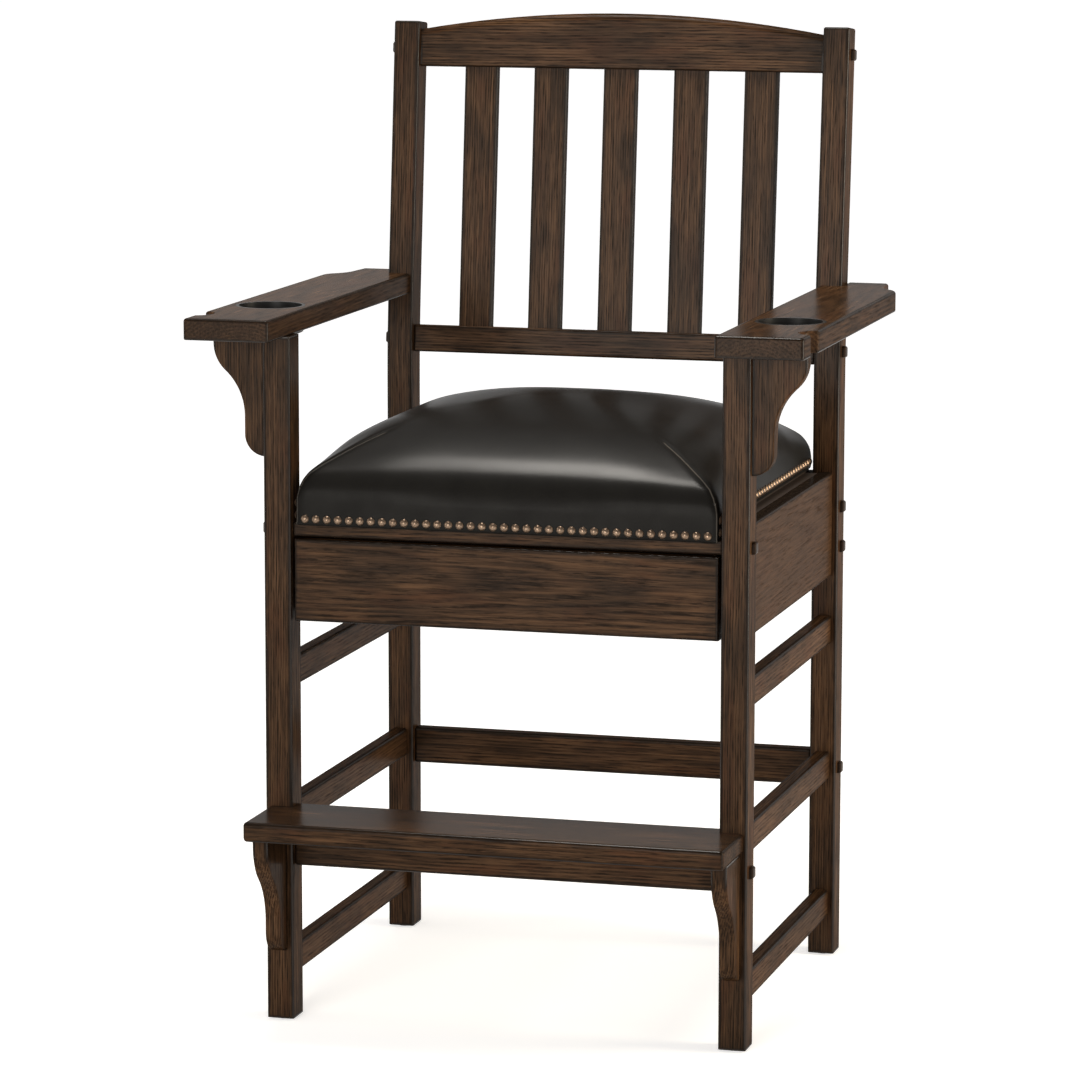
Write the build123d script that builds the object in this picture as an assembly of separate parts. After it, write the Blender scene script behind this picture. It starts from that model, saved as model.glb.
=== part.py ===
from build123d import *
import os
from math import atan2, cos, degrees, hypot, sin, tan

# Bar height chair: oak frame, crowned seat, drawer, footboard and two arms with cup liners.
# Sizes are in millimetres. X is the width, Y runs from the front to the rear and Z is up.
# While the pieces are made, Y is 0 at the front face of the front legs and Z is 0 on the floor.
# Pieces on the right (+X) are made first, and their left-hand pairs are their mirror images.

# Legs and posts
leg_span = 620.0
base_depth = 560.0
leg_width = 35.0
leg_depth = 40.0
leg_ease = 3.0
glide_height = 3.0
glide_radius = 10.0
glide_pin_radius = 1.5
glide_pin_length = 12.0
post_top = 1230.0
post_set_back = 40.0
knee_height = 812.0
bend_radius = 1200.0

# Side rails, with tenons in the legs and posts
rail_thickness = 20.0
rail_ease = 4.0
apron_low = 513.0
apron_high = 652.0
side_stretcher_heights = {"upper": (423.0, 461.0), "middle": (240.5, 278.5), "lower": (54.0, 91.0)}
tenon_length = 14.0
tenon_thickness = 8.0
tenon_shoulder = 9.0

# Cross rails, held by bolts and dowels
cross_rail_thickness = 22.0
cross_rail_ease = 3.0
front_rail_top = 637.0
front_rail_thickness = 18.0
front_rail_depth = 62.0
foot_rail_low = 200.0
foot_rail_height = 52.0
rear_stretcher_low = 229.5
rear_stretcher_high = 277.5
lower_back_low = -21.0
lower_back_high = 15.0

# Back, measured along the leaning posts from their knee
crest_low = 360.5
crest_end = 410.0
crest_middle = 434.3
crest_thickness = 24.0
crest_round = 9.0
slat_count = 5
slat_end_space = 61.05
slat_width = 45.5
slat_thickness = 13.0
slat_ease = 2.5
slat_housing = 10.0

# Footboard
footboard_thickness = 25.0
footboard_reach = 106.0
footboard_end_inset = 5.0
footboard_rear = 25.5
footboard_ease = 5.0

# Arms
arm_low = 869.5
arm_thickness = 27.0
arm_width = 110.0
arm_inner_lap = 5.0
arm_front = -68.0
arm_rear_reach = 63.0
arm_corner = 4.0
arm_ease = 4.0
arm_ease_below = 2.0
scroll_start_ahead = 99.0
scroll_turn_inset = 10.0
scroll_turn_ahead = 76.0
scroll_end_inset = 24.0
scroll_end_ahead = 46.0
arm_rear_inset = 28.5
cue_radius = 22.0
cue_offset = 5.0
cue_set_back = 62.0
cue_mouth_round = 5.0

# Cup liners
cup_set_back = 175.0
cup_bore_radius = 42.0
cup_rim_radius = 44.0
cup_rim_height = 2.0
cup_wall = 1.8
cup_floor = 2.0
cup_depth = 34.0
cup_floor_round = 3.0

# Brackets under the arms and under the footboard
bracket_thickness = 20.0
bracket_ease = 2.0
bracket_hollow_share = 0.5
arm_bracket = {"reach": 68.0, "height": 152.0, "stem": 27.5, "waist_share": 0.33, "lip": 11.0}
foot_bracket = {"reach": 76.0, "height": 160.0, "stem": 28.0, "waist_share": 0.26, "lip": 10.0}

# Seat frame, board and cushion
seat_rest = 650.0
seat_bar_height = 22.0
seat_bar_width = 25.0
seat_end_bar_width = 22.0
seat_board_thickness = 10.0
seat_ease = 1.5
cleat_width = 42.5
cleat_height = 18.0
corner_block_height = 30.0
corner_block_leg = 67.0
corner_block_width = 67.5
cushion_side_space = 5.0
cushion_front = 4.0
cushion_rear_inset = 14.0
cushion_crown = 107.0
cushion_shoulder = 42.0
cushion_gap = 0.3
cover_thickness = 4.0
cover_drop_front = 3.5
cover_lift_side = 4.0
cover_corner_depth = 20.0

# Seat nails
nail_pitch = 14.3
end_nail_space = 9.0
side_nail_space = 18.0
nail_head_radius = 5.25
nail_head_height = 3.2
nail_shank_radius = 1.0
nail_shank_length = 12.0
front_nail_lift = 8.8
side_nail_lift = 10.0
corner_nail_set_back = 9.0
corner_nail_lifts = (12.5, 27.5)

# Drawer
drawer_front_end_gap = 4.0
drawer_front_height = 103.5
drawer_front_thickness = 19.0
drawer_front_set_in = 2.0
drawer_front_ease = 3.0
drawer_gap = 2.0
drawer_side_space = 16.5
drawer_side_thickness = 13.0
drawer_side_height = 76.0
drawer_side_lift = 6.5
drawer_rear_space = 50.0
drawer_back_thickness = 12.0
drawer_back_inset = 3.0
drawer_catch = 16.0
drawer_bottom_thickness = 5.0
drawer_bottom_lift = 8.0
drawer_groove = 5.0
drawer_housing = 6.0
drawer_back_housing = 4.0
runner_height = 14.0
runner_lift = 30.0
runner_groove = 6.5
runner_nose = 14.7
slide_clearance = 0.3
stop_rear = 165.0
stop_length = 15.0
stop_width = 22.0
stop_gap = 4.0

# Bolts, caps, barrel nuts, dowels and screws
bolt_radius = 3.0
bolt_hole_radius = 3.3
bolt_into_rail = 35.0
bolt_end_gap = 2.0
bolt_head_radius = 6.0
bolt_head_height = 4.0
counterbore_radius = 7.0
counterbore_depth = 8.0
cap_side = 15.0
cap_height = 5.5
cap_round = 3.0
nut_radius = 5.0
nut_length = 14.0
nut_distance = 30.0
dowel_radius = 4.0
dowel_half_length = 15.0
dowel_end_gap = 0.5
dowel_spread = 13.0
screw_radius = 2.0
screw_length = 30.0
screw_head_radius = 4.0
screw_head_height = 3.0
fit_clearance = 0.1
part_gap = 0.3
overrun = 1.0

# Heights of the bolts above the lower edge of their rail
front_bolt_lift = 24.5
apron_bolt_lifts = (38.0, 91.0)
crest_bolt_lift = 24.3

# Places of the screws and of the dowels that aren't at a bolt
board_screw_spread = 155.0
seat_fixing_inset = 15.7
end_screw_x = 120.0
cleat_screw_spread = 75.0
front_rail_screw_x = 200.0
runner_screw_spread = 125.0
footboard_dowels = (-180.0, 0.0, 180.0)
footboard_dowel_y = 16.0
foot_bracket_dowel_lifts = (28.0, 98.0)
foot_bracket_top_dowel = 40.0
arm_bracket_dowel_lifts = (28.0, 103.0)
arm_bracket_top_dowel = 40.0

# Values that follow from the sizes above
leg_outer = leg_span / 2
leg_inner = leg_outer - leg_width
leg_mid_x = leg_outer - leg_width / 2
leg_mid_y = leg_depth / 2
post_front = base_depth - leg_depth
post_mid_y = base_depth - leg_depth / 2
lean = atan2(post_set_back, post_top - knee_height)
bend_start = knee_height - bend_radius * tan(lean / 2)
post_length = (post_top - knee_height) / cos(lean)
rail_inner = leg_mid_x - rail_thickness / 2
slat_pitch = (2 * (leg_inner - slat_end_space) - slat_width) / (slat_count - 1)
arm_top = arm_low + arm_thickness
arm_inner = leg_inner + arm_inner_lap
arm_outer = arm_inner + arm_width
arm_rear = post_front + arm_rear_reach
cue_y = arm_front + cue_set_back
cup_y = arm_front + cup_set_back
front_rail_low = front_rail_top - front_rail_thickness
footboard_low = foot_rail_low + foot_rail_height
footboard_half_width = leg_outer - footboard_end_inset
seat_top = seat_rest + seat_bar_height
board_top = seat_top + seat_board_thickness
cleat_low = seat_rest - cleat_height
cushion_half_width = leg_inner - cushion_side_space
cushion_rear = base_depth - cushion_rear_inset
cushion_mid_y = (cushion_front + cushion_rear) / 2
cover_low = front_rail_top - cover_drop_front
side_cover_low = seat_rest + cover_lift_side
seat_half_width = cushion_half_width - cover_thickness - cushion_gap
seat_front = cushion_front + cover_thickness + cushion_gap
seat_rear = cushion_rear - cover_thickness - cushion_gap
seat_fixing_x = seat_half_width - seat_fixing_inset
drawer_front_half_width = leg_inner - drawer_front_end_gap
drawer_half_width = rail_inner - drawer_side_space
drawer_rear = post_front - drawer_rear_space
front_bolt_height = foot_rail_low + front_bolt_lift
apron_bolt_heights = [apron_low + lift for lift in apron_bolt_lifts]
rear_stretcher_bolt = (rear_stretcher_low + rear_stretcher_high) / 2
lower_back_bolt = (lower_back_low + lower_back_high) / 2
crest_bolt = crest_low + crest_bolt_lift
back = Pos(0, post_mid_y, knee_height) * Rotation(-degrees(lean), 0, 0)
turns = {"x": Rotation(0, 90, 0), "y": Rotation(-90, 0, 0), "z": Rotation(0, 0, 0)}
parts = {}
groups = {}


def block(x_low, x_high, y_low, y_high, z_low, z_high):
    """Plain block between its two limits on each axis."""
    size = (x_high - x_low, y_high - y_low, z_high - z_low)
    return Pos(x_low, y_low, z_low) * Box(*size, align=(Align.MIN, Align.MIN, Align.MIN))


def rod(axis, radius, low, high):
    """Round rod along an axis, between two distances from the origin."""
    upright = Cylinder(radius, high - low, align=(Align.CENTER, Align.CENTER, Align.MIN))
    return turns[axis] * Pos(0, 0, low) * upright


def tall_edges(shape, height):
    """Edges that rise by more than a height, such as the long corners of a post."""
    return [edge for edge in shape.edges() if edge.bounding_box().size.Z > height]


def flipped(shape):
    """The same shape on the other side of the chair."""
    return mirror(shape, about=Plane.YZ)


def pair(name, right):
    """Keeps a right-hand piece and its left-hand mirror image."""
    parts[name + "_right"] = right
    parts[name + "_left"] = flipped(right)


# Round places shared by two pieces. Each station is where the axis of a fastener lies.
front_bolts = {
    "front_rail": Pos(0, leg_mid_y, front_rail_low + front_rail_thickness / 2),
    "foot_rail": Pos(0, leg_mid_y, front_bolt_height),
}
rear_bolts = {
    "rear_stretcher": Pos(0, post_mid_y, rear_stretcher_bolt),
    "apron_low": Pos(0, post_mid_y, apron_bolt_heights[0]),
    "apron_high": Pos(0, post_mid_y, apron_bolt_heights[1]),
    "lower_back": back * Pos(0, 0, lower_back_bolt),
    "crest": back * Pos(0, 0, crest_bolt),
}
nut_x = leg_inner - nut_distance


def nut_turn(name):
    """Aims +Z down for the flat front rail, drilled from below, and to the rear for every other rail."""
    if name == "front_rail":
        return Rotation(180, 0, 0)
    return Rotation(-90, 0, 0)


def bolt_space(name, station):
    """Hole, counterbore and nut bore of one right-hand bolt."""
    shank = rod("x", bolt_hole_radius, leg_inner - bolt_into_rail - bolt_end_gap, leg_outer)
    counterbore = rod("x", counterbore_radius, leg_outer - counterbore_depth, leg_outer + overrun)
    length = nut_length + cross_rail_thickness
    nut = Cylinder(nut_radius + fit_clearance, length, align=(Align.CENTER, Align.CENTER, Align.MIN))
    bore = Pos(nut_x, 0, 0) * nut_turn(name) * Pos(0, 0, -nut_length / 2) * nut
    return station * (shank + counterbore + bore)


def bolt_pieces(name, station):
    """Bolt, barrel nut and square cap at one right-hand station."""
    seat_x = leg_outer - counterbore_depth
    shank = rod("x", bolt_radius, leg_inner - bolt_into_rail, seat_x)
    head = rod("x", bolt_head_radius, seat_x, seat_x + bolt_head_height)
    bolt = shank + head
    nut = Pos(nut_x, 0, 0) * nut_turn(name) * rod("z", nut_radius, -nut_length / 2, nut_length / 2)
    nut = nut - rod("x", bolt_radius + fit_clearance, nut_x - nut_length, nut_x + nut_length)
    spigot = rod("x", counterbore_radius - fit_clearance, seat_x + bolt_head_height + part_gap, leg_outer)
    cap = Box(cap_height, cap_side, cap_side, align=(Align.MIN, Align.CENTER, Align.CENTER))
    outer_edges = [edge for edge in cap.edges() if edge.bounding_box().max.X > cap_height / 2]
    cap = Pos(leg_outer, 0, 0) * fillet(outer_edges, cap_round) + spigot
    return station * bolt, station * nut, station * cap


# Dowels are all the same size. Each place gives the middle of one dowel and the axis it lies along.
spread = (-dowel_spread, dowel_spread)
cross_dowels = {
    "foot_rail": [(Pos(leg_inner, leg_mid_y, front_bolt_height + lift), "x") for lift in spread],
    "rear_stretcher": [(Pos(leg_inner, post_mid_y, rear_stretcher_bolt + lift), "x") for lift in spread],
    "lower_back": [(back * Pos(leg_inner, 0, lower_back_bolt + lift), "x") for lift in spread],
    "crest": [(back * Pos(leg_inner, 0, crest_bolt + lift), "x") for lift in spread],
}
arm_bracket_low = arm_low - arm_bracket["height"]
foot_bracket_low = footboard_low - foot_bracket["height"]
leg_dowels = {
    "arm_top": [(Pos(leg_mid_x, leg_mid_y, arm_low), "z")],
    "arm_bracket": [
        (Pos(leg_outer, leg_mid_y, arm_bracket_low + lift), "x") for lift in arm_bracket_dowel_lifts
    ],
    "foot_bracket": [
        (Pos(leg_mid_x, 0, foot_bracket_low + lift), "y") for lift in foot_bracket_dowel_lifts
    ],
}
arm_bracket_dowel = (Pos(leg_outer + arm_bracket_top_dowel, leg_mid_y, arm_low), "z")
foot_bracket_dowel = (Pos(leg_mid_x, -foot_bracket_top_dowel, footboard_low), "z")
arm_post_lift = (arm_low + arm_thickness / 2 - knee_height) / cos(lean)
arm_post_dowel = (back * Pos((arm_inner + leg_outer) / 2, -leg_depth / 2, arm_post_lift), "y")
board_dowels = [(Pos(x, footboard_dowel_y, footboard_low), "z") for x in footboard_dowels]
seat_dowel_height = seat_rest + seat_bar_height / 2
seat_side_front = seat_front + seat_end_bar_width
seat_side_rear = seat_rear - seat_end_bar_width
seat_dowels = {
    "front": (Pos(seat_fixing_x, seat_side_front, seat_dowel_height), "y"),
    "rear": (Pos(seat_fixing_x, seat_side_rear, seat_dowel_height), "y"),
}


def dowel_space(place):
    """Hole for one dowel, a little longer than the dowel."""
    station, axis = place
    reach = dowel_half_length + dowel_end_gap
    return station * rod(axis, dowel_radius + fit_clearance, -reach, reach)


def dowel(place):
    """One dowel at its place."""
    station, axis = place
    return station * rod(axis, dowel_radius, -dowel_half_length, dowel_half_length)


# Screws are all the same size. Each place is the middle of the head's face, with the turn that aims +Z
# along the screw, from the head to the tip.
down = Rotation(180, 0, 0)
up = Rotation(0, 0, 0)
outwards = Rotation(0, 90, 0)
runner_low = front_rail_low - drawer_gap - drawer_front_height + drawer_side_lift + runner_lift
runner_inner = drawer_half_width - runner_groove + slide_clearance
seat_end_mid = (seat_front + seat_side_front) / 2
board_screw_steps = (-board_screw_spread, 0, board_screw_spread)
board_screws = [Pos(seat_fixing_x, cushion_mid_y + step, board_top) * down for step in board_screw_steps]
end_screws = {
    "front": [Pos(end_screw_x, seat_end_mid, board_top) * down],
    "rear": [Pos(end_screw_x, (seat_rear + seat_side_rear) / 2, board_top) * down],
}
cleat_screw_steps = (-cleat_screw_spread, cleat_screw_spread)
cleat_screws = [Pos(seat_fixing_x, cushion_mid_y + step, cleat_low) * up for step in cleat_screw_steps]
rail_screws = [Pos(front_rail_screw_x, seat_end_mid, front_rail_low) * up]
runner_screw_z = runner_low + runner_height / 2
runner_screw_rows = (cushion_mid_y - runner_screw_spread, cushion_mid_y + runner_screw_spread)
runner_screws = [Pos(runner_inner, y, runner_screw_z) * outwards for y in runner_screw_rows]


def screw(place, grow=0.0):
    """One screw at its place, or the hole for it when it is grown."""
    head = rod("z", screw_head_radius + grow, 0, screw_head_height)
    shank = rod("z", screw_radius + grow, 0, screw_length + grow)
    return place * (head + shank)


def screw_spaces(places):
    """Holes for a list of screws."""
    return [screw(place, fit_clearance) for place in places]


# Side rails: apron and three stretchers on each side.
def side_rail(low, high):
    """Board between a leg and a post, with a tenon at each end."""
    board = block(rail_inner, rail_inner + rail_thickness, leg_depth, post_front, low, high)
    board = fillet(board.edges(), rail_ease)
    tenon_x = leg_mid_x - tenon_thickness / 2
    tenon_low = low + tenon_shoulder
    tenon_high = high - tenon_shoulder
    tenon_front = leg_depth - tenon_length
    tenon_rear = post_front + tenon_length
    return board + block(tenon_x, tenon_x + tenon_thickness, tenon_front, tenon_rear, tenon_low, tenon_high)


def mortises(low, high):
    """Space for both tenons of one side rail."""
    reach = tenon_length + part_gap
    half = tenon_thickness / 2 + fit_clearance
    bottom = low + tenon_shoulder - fit_clearance
    top = high - tenon_shoulder + fit_clearance
    front = block(leg_mid_x - half, leg_mid_x + half, leg_depth - reach, leg_depth + overrun, bottom, top)
    rear = block(leg_mid_x - half, leg_mid_x + half, post_front - overrun, post_front + reach, bottom, top)
    return [front, rear]


apron = side_rail(apron_low, apron_high) - screw_spaces(runner_screws)
pair("side_apron", apron)
joint_spaces = mortises(apron_low, apron_high)
for level, (low, high) in side_stretcher_heights.items():
    pair("side_stretcher_" + level, side_rail(low, high))
    joint_spaces += mortises(low, high)

# Floor glides: a disc with a pin under each leg and post.
glide_pin_top = glide_height + glide_pin_length
glide = rod("z", glide_radius, 0, glide_height) + rod("z", glide_pin_radius, 0, glide_pin_top)
pin_space = rod("z", glide_pin_radius + fit_clearance, 0, glide_pin_top + part_gap)
glides = [Pos(leg_mid_x, y, 0) * glide for y in (leg_mid_y, post_mid_y)]
pin_spaces = [Pos(leg_mid_x, y, 0) * pin_space for y in (leg_mid_y, post_mid_y)]
groups["floor_glides"] = glides + [flipped(piece) for piece in glides]

# Front legs, from the glides to the underside of the arms.
leg = block(leg_inner, leg_outer, 0, leg_depth, glide_height, arm_low)
leg = fillet(tall_edges(leg, leg_depth), leg_ease)
leg_dowel_spaces = [dowel_space(place) for places in leg_dowels.values() for place in places]
leg_dowel_spaces += [dowel_space(place) for place in cross_dowels["foot_rail"]]
leg_bolt_spaces = [bolt_space(name, station) for name, station in front_bolts.items()]
pair("front_leg", leg - (joint_spaces + pin_spaces + leg_dowel_spaces + leg_bolt_spaces))


# Rear posts: straight to the knee, then bent back to the top in one piece.
def bend_point(offset, angle, beyond):
    """Point of the post's side view, at an offset behind its middle line."""
    radius = bend_radius - offset
    y = post_mid_y + bend_radius - radius * cos(angle) + beyond * sin(angle)
    z = bend_start + radius * sin(angle) + beyond * cos(angle)
    return (y, z)


def post_edge(offset):
    """Straight, bent and leaning stretches of one side of the post."""
    above_bend = post_length - bend_radius * tan(lean / 2)
    bend_foot = bend_point(offset, 0, 0)
    bend_head = bend_point(offset, lean, 0)
    lower = Line((post_mid_y + offset, glide_height), bend_foot)
    bend = ThreePointArc(bend_foot, bend_point(offset, lean / 2, 0), bend_head)
    upper = Line(bend_head, bend_point(offset, lean, above_bend))
    return [lower, bend, upper]


front_edge = post_edge(-leg_depth / 2)
rear_edge = post_edge(leg_depth / 2)
ends = [Line(front_edge[0] @ 0, rear_edge[0] @ 0), Line(front_edge[2] @ 1, rear_edge[2] @ 1)]
post_face = Plane.YZ * make_face(front_edge + rear_edge + ends)
post = Pos(leg_inner, 0, 0) * extrude(post_face, amount=leg_width, dir=(1, 0, 0))
above_floor = [edge for edge in post.edges() if edge.bounding_box().max.Z > leg_depth]
post = fillet(above_floor, leg_ease)
post_dowel_spaces = [dowel_space(arm_post_dowel)]
for name in ("rear_stretcher", "lower_back", "crest"):
    post_dowel_spaces += [dowel_space(place) for place in cross_dowels[name]]
post_bolt_spaces = [bolt_space(name, station) for name, station in rear_bolts.items()]
pair("rear_post", post - (joint_spaces + pin_spaces + post_dowel_spaces + post_bolt_spaces))


def both_sides(spaces):
    """Spaces on the right and their mirror images."""
    return spaces + [flipped(space) for space in spaces]


def cross_rail(low, high, mid_y, thickness):
    """Board from side to side between the legs or posts."""
    board = block(-leg_inner, leg_inner, mid_y - thickness / 2, mid_y + thickness / 2, low, high)
    return fillet(board.edges(), cross_rail_ease)


# Seat front rail: a flat board under the cover's front edge. The seat frame is screwed to it.
front_rail_rear = seat_front + front_rail_depth
front_rail = block(-leg_inner, leg_inner, seat_front, front_rail_rear, front_rail_low, front_rail_top)
front_rail = fillet(front_rail.edges(), cross_rail_ease)
front_rail_spaces = [bolt_space("front_rail", front_bolts["front_rail"])] + screw_spaces(rail_screws)
parts["seat_front_rail"] = front_rail - both_sides(front_rail_spaces)

# Seat rear rail: a deep board between the posts.
rear_rail = cross_rail(apron_low, seat_rest, post_mid_y, cross_rail_thickness)
rear_rail_spaces = [bolt_space(name, rear_bolts[name]) for name in ("apron_low", "apron_high")]
parts["seat_rear_rail"] = rear_rail - both_sides(rear_rail_spaces)

# Rear stretcher between the posts.
stretcher = cross_rail(rear_stretcher_low, rear_stretcher_high, post_mid_y, cross_rail_thickness)
stretcher_spaces = [bolt_space("rear_stretcher", rear_bolts["rear_stretcher"])]
stretcher_spaces += [dowel_space(place) for place in cross_dowels["rear_stretcher"]]
parts["rear_stretcher"] = stretcher - both_sides(stretcher_spaces)

# Foot rail between the front legs. It carries the footboard.
foot_rail = cross_rail(foot_rail_low, footboard_low, leg_mid_y, cross_rail_thickness)
foot_rail_spaces = [bolt_space("foot_rail", front_bolts["foot_rail"])]
foot_rail_spaces += [dowel_space(place) for place in cross_dowels["foot_rail"]]
foot_rail = foot_rail - both_sides(foot_rail_spaces)
parts["foot_rail"] = foot_rail - [dowel_space(place) for place in board_dowels]

# Footboard, notched round the front legs.
footboard_high = footboard_low + footboard_thickness
footboard = block(
    -footboard_half_width,
    footboard_half_width,
    -footboard_reach,
    footboard_rear,
    footboard_low,
    footboard_high,
)
footboard = fillet(footboard.edges(), footboard_ease)
notch = block(
    leg_inner - part_gap,
    leg_outer,
    -part_gap,
    footboard_rear + overrun,
    footboard_low - overrun,
    footboard_high + overrun,
)
footboard_spaces = [notch, dowel_space(foot_bracket_dowel)]
footboard = footboard - both_sides(footboard_spaces)
parts["footboard"] = footboard - [dowel_space(place) for place in board_dowels]


# Brackets: an S-shaped plate, a hollow curve below running into a round one above.
def bracket_face(reach, height, stem, waist_share, lip):
    """Outline of a bracket, with its straight back on the leg and its flat top under the board."""
    waist = height * waist_share
    hollow = height * bracket_hollow_share
    lip_start = height - lip
    inner = stem + hollow - reach
    rise = lip_start - waist
    belly = (inner**2 + rise**2 - hollow**2) / (2 * (hollow - inner))
    step_x = reach - belly - stem - hollow
    share = hollow / hypot(step_x, rise)
    turn_point = (stem + hollow + step_x * share, waist + rise * share)
    outline = [
        TangentArc((0, 0), (stem, stem), tangent=(1, 0)),
        Line((stem, stem), (stem, waist)),
        TangentArc((stem, waist), turn_point, tangent=(0, 1)),
        TangentArc((reach, lip_start), turn_point, tangent=(0, -1)),
        Line((reach, lip_start), (reach, height)),
        Line((reach, height), (0, height)),
        Line((0, height), (0, 0)),
    ]
    return make_face(outline)


def bracket_plate(sizes):
    """Plate cut to the outline, its curved edges eased, standing in the XZ plane."""
    plate = extrude(Plane.XZ * bracket_face(**sizes), amount=bracket_thickness / 2, both=True)
    top = sizes["height"]
    eased = []
    for edge in plate.edges():
        box = edge.bounding_box()
        if box.size.Y < bracket_ease and box.max.X > bracket_ease and box.min.Z < top - bracket_ease:
            eased.append(edge)
    return fillet(eased, bracket_ease)


# Arm brackets on the outer faces of the front legs.
arm_bracket_piece = Pos(leg_outer, leg_mid_y, arm_bracket_low) * bracket_plate(arm_bracket)
arm_bracket_spaces = [dowel_space(place) for place in leg_dowels["arm_bracket"] + [arm_bracket_dowel]]
pair("arm_bracket", arm_bracket_piece - arm_bracket_spaces)

# Foot brackets on the front faces of the front legs.
foot_bracket_piece = Pos(leg_mid_x, 0, foot_bracket_low) * Rotation(0, 0, -90) * bracket_plate(foot_bracket)
foot_bracket_spaces = [dowel_space(place) for place in leg_dowels["foot_bracket"] + [foot_bracket_dowel]]
pair("foot_bracket", foot_bracket_piece - foot_bracket_spaces)

# Arms: a flat board with a scrolled rear corner, a cue notch and a cup bore, notched round the post.
scroll_start = (arm_outer, arm_rear - scroll_start_ahead)
scroll_turn = (arm_outer - scroll_turn_inset, arm_rear - scroll_turn_ahead)
scroll_end = (arm_outer - scroll_end_inset, arm_rear - scroll_end_ahead)
rear_corner = (arm_outer - arm_rear_inset, arm_rear)
scroll_first = TangentArc(scroll_start, scroll_turn, tangent=(0, 1))
scroll_second = TangentArc(scroll_turn, scroll_end, tangent=scroll_first % 1)
arm_lines = [
    Line((arm_inner, arm_front), (arm_outer, arm_front)),
    Line((arm_outer, arm_front), scroll_start),
    scroll_first,
    scroll_second,
    Line(scroll_end, rear_corner),
    Line(rear_corner, (arm_inner, arm_rear)),
    Line((arm_inner, arm_rear), (arm_inner, arm_front)),
]
arm_face = make_face(arm_lines) - Pos(arm_outer + cue_offset, cue_y) * Circle(cue_radius)
mouth = [vertex for vertex in arm_face.vertices() if abs(vertex.Y - cue_y) < cue_radius]
arm_face = fillet(mouth, cue_mouth_round)
corners = [vertex for vertex in arm_face.vertices() if abs(vertex.Y - arm_front) < part_gap]
corners += [vertex for vertex in arm_face.vertices() if abs(vertex.Y - arm_rear) < part_gap]
arm_face = fillet(corners, arm_corner)
arm = Pos(0, 0, arm_low) * extrude(arm_face, amount=arm_thickness)
arm = fillet(arm.edges().group_by(Axis.Z)[-1], arm_ease)
arm = fillet(arm.edges().group_by(Axis.Z)[0], arm_ease_below)
cup_station = Pos((arm_inner + arm_outer) / 2, cup_y, arm_top)
cup_bore = cup_station * rod("z", cup_bore_radius, -arm_thickness - overrun, overrun)
rim_bore = cup_station * rod("z", cup_rim_radius + part_gap, -cup_rim_height, overrun)
post_notch = back * block(
    0, leg_outer + part_gap, -leg_depth / 2 - fit_clearance, arm_rear - post_front, 0, post_length
)
arm_dowels = leg_dowels["arm_top"] + [arm_bracket_dowel, arm_post_dowel]
pair("arm", arm - ([cup_bore, rim_bore, post_notch] + [dowel_space(place) for place in arm_dowels]))

# Cup liners: a round cup with a flat rim that rests in the arm.
cup_outer = cup_bore_radius - part_gap
cup = rod("z", cup_outer, -cup_depth, 0)
cup = fillet(cup.edges().group_by(Axis.Z)[0], cup_floor_round)
cup_hollow = rod("z", cup_outer - cup_wall, -cup_depth + cup_floor, overrun)
cup_hollow = fillet(cup_hollow.edges().group_by(Axis.Z)[0], cup_floor_round)
cup = cup + rod("z", cup_rim_radius, -cup_rim_height, 0) - cup_hollow
pair("cup_liner", cup_station * cup)

# Crest rail: arched on top, held between the posts and leaning with them.
crest_lines = [
    Line((-leg_inner, crest_low), (leg_inner, crest_low)),
    Line((leg_inner, crest_low), (leg_inner, crest_end)),
    ThreePointArc((leg_inner, crest_end), (0, crest_middle), (-leg_inner, crest_end)),
    Line((-leg_inner, crest_end), (-leg_inner, crest_low)),
]
crest = extrude(Plane.XZ * make_face(crest_lines), amount=crest_thickness / 2, both=True)
crest = fillet(crest.edges().filter_by(GeomType.CIRCLE), crest_round)
crest_bottom = [edge for edge in crest.edges() if edge.bounding_box().max.Z < crest_low + cross_rail_ease]
crest = back * fillet(crest_bottom, cross_rail_ease)

# Lower back rail, at the knee of the posts.
lower_back_half = cross_rail_thickness / 2
lower_back = block(-leg_inner, leg_inner, -lower_back_half, lower_back_half, lower_back_low, lower_back_high)
lower_back = back * fillet(lower_back.edges(), cross_rail_ease)

# Back slats, their ends housed in the two rails.
slat_low = lower_back_high - slat_housing
slat_high = crest_low + slat_housing
half_width = slat_width / 2
half_thickness = slat_thickness / 2
slat = block(-half_width, half_width, -half_thickness, half_thickness, slat_low, slat_high)
slat = fillet(tall_edges(slat, slat_width), slat_ease)
housing = block(
    -half_width - fit_clearance,
    half_width + fit_clearance,
    -half_thickness - fit_clearance,
    half_thickness + fit_clearance,
    slat_low - part_gap,
    slat_high + part_gap,
)
housings = []
for index in range(slat_count):
    slat_x = (index - (slat_count - 1) / 2) * slat_pitch
    parts["back_slat_" + str(index + 1)] = back * Pos(slat_x, 0, 0) * slat
    housings.append(back * Pos(slat_x, 0, 0) * housing)
crest_spaces = [bolt_space("crest", rear_bolts["crest"])]
crest_spaces += [dowel_space(place) for place in cross_dowels["crest"]]
parts["crest_rail"] = crest - (both_sides(crest_spaces) + housings)
lower_back_spaces = [bolt_space("lower_back", rear_bolts["lower_back"])]
lower_back_spaces += [dowel_space(place) for place in cross_dowels["lower_back"]]
parts["lower_back_rail"] = lower_back - (both_sides(lower_back_spaces) + housings)


# Seat nails: domed heads on the cover's edge. Each place aims +Z into the seat.
def nail(place):
    """One nail, its domed head standing off the cover by the gap."""
    ball_radius = (nail_head_radius**2 + nail_head_height**2) / (2 * nail_head_height)
    ball = Pos(0, 0, ball_radius - nail_head_height) * Sphere(ball_radius)
    dome = ball & rod("z", ball_radius, -ball_radius, 0)
    return place * Pos(0, 0, -cushion_gap) * (dome + rod("z", nail_shank_radius, 0, nail_shank_length))


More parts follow.
